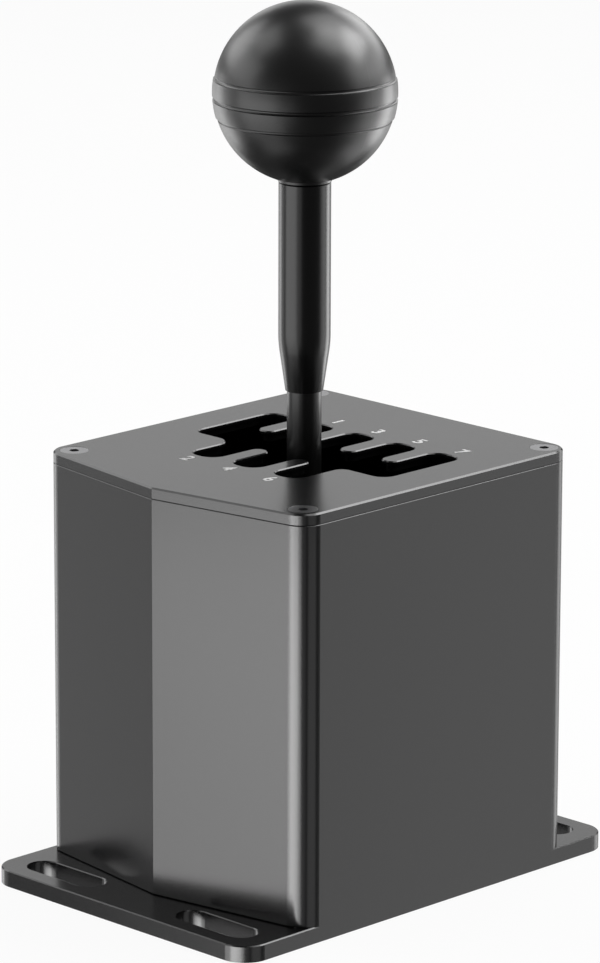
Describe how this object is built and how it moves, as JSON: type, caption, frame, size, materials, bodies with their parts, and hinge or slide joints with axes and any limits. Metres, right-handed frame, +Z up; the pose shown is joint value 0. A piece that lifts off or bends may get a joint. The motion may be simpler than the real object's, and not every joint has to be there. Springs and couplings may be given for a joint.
{
  "type": "sim racing gear shifter",
  "caption": "H-pattern gear shifter for a driving simulator: slotted base flange, extruded housing, milled gate cover and a ball-knob lever on a sprung gimbal.",
  "frame": {"origin": "centre of the base plate's underside, below the lever", "axes": "+Z up along the lever at rest, +Y forward (away from the driver), +X to the driver's right"},
  "size_m": [0.1, 0.1444, 0.2432],
  "materials": {
    "anodised_black": "bead-blasted and anodised black, satin",
    "black_screw": "black oxide",
    "machined_aluminium": "as milled",
    "bearing_steel": "ground",
    "ground_steel": "ground",
    "spring_steel": "tempered",
    "rod_black": "black coated, satin",
    "tube_black": "anodised black, satin",
    "knob_black": "turned, fine satin",
    "brass": "turned",
    "nickel": "nickel plated",
    "black_plastic": "moulded",
    "white_plastic": "moulded",
    "board_green": "solder mask over glass fibre",
    "chip_black": "moulded",
    "lead_grey": "sheathed lead",
    "socket_metal": "drawn sheet",
    "gold_contact": "gold plated"
  },
  "bodies": {
    "root": {"base_plate": "anodised_black", "housing": "anodised_black", "gate_cover": "anodised_black", "cover_screws": "black_screw", "base_screws": "black_screw", "bracket_screws": "black_screw", "front_bracket": "machined_aluminium", "rear_bracket": "machined_aluminium", "trunnion_bearing_outers": "bearing_steel", "centring_spring": "spring_steel", "select_board_pillars": "brass", "select_sensor_board": "board_green", "select_sensor_chip": "chip_black", "select_board_screws": "black_screw", "select_lead_plug": "white_plastic", "select_lead": "lead_grey", "main_board": "board_green", "main_board_pillars": "brass", "main_board_screws": "black_screw", "main_board_chip": "chip_black", "main_board_plugs": "white_plastic", "usb_socket": "socket_metal", "data_socket": "black_plastic", "data_contacts": "gold_contact"},
    "yoke": {"yoke": "machined_aluminium", "front_trunnion": "ground_steel", "rear_trunnion": "ground_steel", "trunnion_bearing_inners": "bearing_steel", "trunnion_clips": "spring_steel", "pivot_bearing_outers": "bearing_steel", "select_magnet_holder": "black_plastic", "select_magnet": "nickel", "detent_leaf": "spring_steel", "detent_leaf_screws": "black_screw", "shift_board_pillars": "brass", "shift_sensor_board": "board_green", "shift_sensor_chip": "chip_black", "shift_board_screws": "black_screw", "shift_lead_plug": "white_plastic", "shift_lead": "lead_grey"},
    "lever": {"lever_hub": "machined_aluminium", "hub_grub_screw": "black_screw", "cross_shaft": "ground_steel", "pivot_bearing_inners": "bearing_steel", "cross_shaft_clips": "spring_steel", "shift_magnet_holder": "black_plastic", "shift_magnet": "nickel", "detent_cam": "ground_steel", "cam_pins": "ground_steel", "rod_lock_nut": "black_screw", "lever_rod": "rod_black", "lever_tube": "tube_black", "shift_knob": "knob_black", "knob_insert": "brass"}
  },
  "joints": [
    {"name": "select", "type": "hinge", "parent": "root", "child": "yoke", "pos_m": [0, 0, 0.04], "axis": [0, 1, 0], "range_deg": [-11.4, 11.4], "stiffness_Nm_per_rad": 4.5, "deforming": ["centring_spring", "shift_lead"]},
    {"name": "shift", "type": "hinge", "parent": "yoke", "child": "lever", "pos_m": [0, 0, 0.04], "axis": [-1, 0, 0], "range_deg": [-13.6, 13.6], "deforming": ["detent_leaf"]}
  ]
}
